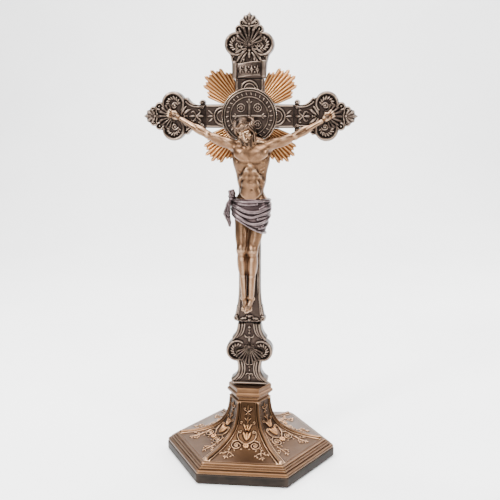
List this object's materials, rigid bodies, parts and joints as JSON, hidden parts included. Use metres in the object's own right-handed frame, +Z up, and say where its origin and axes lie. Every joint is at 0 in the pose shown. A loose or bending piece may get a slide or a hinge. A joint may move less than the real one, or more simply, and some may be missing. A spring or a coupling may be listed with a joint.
{
  "type": "standing processional cross",
  "caption": "Ornate cast-bronze crucifix with shell terminals, medallion and rays, whose tongue lifts out of a slotted hexagonal stand.",
  "frame": {"origin": "centre of the stand's underside, on the surface that it stands on", "axes": "+Z up along the shaft, +X along the arms to the right of someone facing the figure, +Y towards the back, so the figure faces -Y"},
  "size_m": [0.237, 0.1732, 0.508],
  "materials": {
    "felt": "matt felt",
    "plinth_bronze": "near-black bronze patina, satin",
    "stand_bronze": "antique bronze, brushed, dark in the recesses and bright on the ribs",
    "sleeve_steel": "plain folded steel",
    "screw_steel": "zinc-plated",
    "ballast_iron": "as cast",
    "black_board": "matt black board",
    "cross_bronze": "dark antique bronze, worn bright on the raised edges",
    "ray_bronze": "copper-gold bronze, satin",
    "figure_bronze": "warm bronze, polished on the raised forms",
    "crown_bronze": "very dark bronze",
    "cloth_bronze": "pewter-toned bronze, satin",
    "nail_bronze": "dark bronze"
  },
  "bodies": {
    "base": {"felt_pad": "felt", "plinth": "plinth_bronze", "stepped_moulding": "stand_bronze", "flared_body": "stand_bronze", "neck_collar": "stand_bronze", "socket_cap": "stand_bronze", "socket_sleeve": "sleeve_steel", "ballast_block": "ballast_iron", "bottom_plate": "black_board", "plate_screw_1": "screw_steel", "plate_screw_2": "screw_steel", "plate_screw_3": "screw_steel"},
    "cross": {"figure_screw_upper": "screw_steel", "figure_screw_lower": "screw_steel", "cross_core": "cross_bronze", "terminal_top": "cross_bronze", "terminal_left": "cross_bronze", "terminal_right": "cross_bronze", "shaft_collar": "cross_bronze", "lower_cartouche": "cross_bronze", "foot_moulding": "cross_bronze", "tongue": "cross_bronze", "medal": "cross_bronze", "medal_bezel": "cross_bronze", "titulus_scroll": "cross_bronze", "shell_top": "cross_bronze", "shell_lower": "cross_bronze", "shell_left": "cross_bronze", "shell_right": "cross_bronze", "ray_fan_upper_right": "ray_bronze", "ray_fan_upper_left": "ray_bronze", "ray_fan_lower_left": "ray_bronze", "ray_fan_lower_right": "ray_bronze", "figure_torso": "figure_bronze", "figure_head": "figure_bronze", "figure_arm_left": "figure_bronze", "figure_arm_right": "figure_bronze", "figure_legs": "figure_bronze", "crown_of_thorns": "crown_bronze", "loincloth": "cloth_bronze", "loincloth_knot": "cloth_bronze", "nail_left_hand": "nail_bronze", "nail_right_hand": "nail_bronze", "nail_feet": "nail_bronze"}
  },
  "joints": [
    {"name": "cross_lift", "type": "slide", "parent": "base", "child": "cross", "axis": [0, 0, 1], "range_m": [0, 0.09]}
  ]
}
